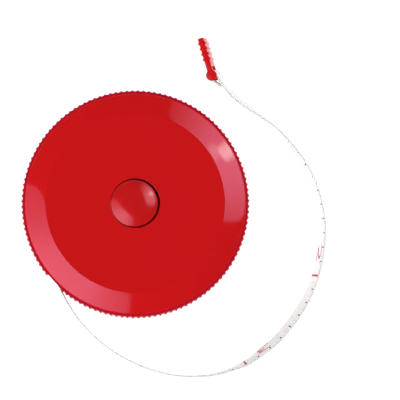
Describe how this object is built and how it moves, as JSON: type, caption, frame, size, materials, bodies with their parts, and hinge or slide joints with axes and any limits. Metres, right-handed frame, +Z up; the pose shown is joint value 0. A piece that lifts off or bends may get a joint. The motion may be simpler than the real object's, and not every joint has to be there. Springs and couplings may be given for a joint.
{
  "type": "retractable pocket tape measure",
  "caption": "Round pocket tape measure: ridged two-part plastic case, push-button brake, spring-return reel, cloth tape drawn out in a loop and a ribbed pull tab.",
  "frame": {"origin": "centre of the flat rear face, on the reel axis, with the case lying on its back", "axes": "+Z up along the reel axis out of the button; +X to the right and +Y away as seen from above, with the tape slot at the lower left"},
  "size_m": [0.067, 0.0753, 0.0144],
  "materials": {
    "case_plastic": "gloss moulded red",
    "button_plastic": "gloss moulded red",
    "tab_plastic": "satin moulded red",
    "tape_cloth": "coated woven cloth",
    "reel_plastic": "moulded natural white",
    "washer_plastic": "smooth low-friction",
    "spring_steel": "rolled",
    "brake_rubber": "matt"
  },
  "bodies": {
    "case": {"front_shell": "case_plastic", "rear_shell": "case_plastic", "slip_washer": "washer_plastic"},
    "reel": {"reel": "reel_plastic", "reel_cover": "reel_plastic", "mainspring": "spring_steel", "wound_tape": "tape_cloth", "button_spring": "spring_steel"},
    "button": {"button": "button_plastic", "brake_ring": "brake_rubber"},
    "tape": {"tape": "tape_cloth"},
    "tab": {"pull_tab": "tab_plastic"}
  },
  "joints": [
    {"name": "reel_turn", "type": "hinge", "parent": "case", "child": "reel", "pos_m": [0, 0, 0.0065], "axis": [0, 0, 1], "range_deg": [-60, 40], "deforming": ["mainspring"]},
    {"name": "button_press", "type": "slide", "parent": "reel", "child": "button", "axis": [0, 0, -1], "range_m": [0, 0.001], "stiffness_N_per_m": 300, "springref_m": -0.003, "deforming": ["button_spring"]},
    {"name": "tape_pull", "type": "hinge", "parent": "case", "child": "tape", "pos_m": [0.01292, -0.00538, 0.0065], "axis": [0, 0, 1], "range_deg": [-38, 26]},
    {"name": "tab_swing", "type": "hinge", "parent": "tape", "child": "tab", "pos_m": [0.01713, 0.02873, 0.00525], "axis": [-0.1034, -0.0931, 0.9903], "range_deg": [-60, 38]}
  ],
  "couplings": [
    {"joint": "tape_pull", "follows": "reel_turn", "ratio": 0.56526}
  ]
}
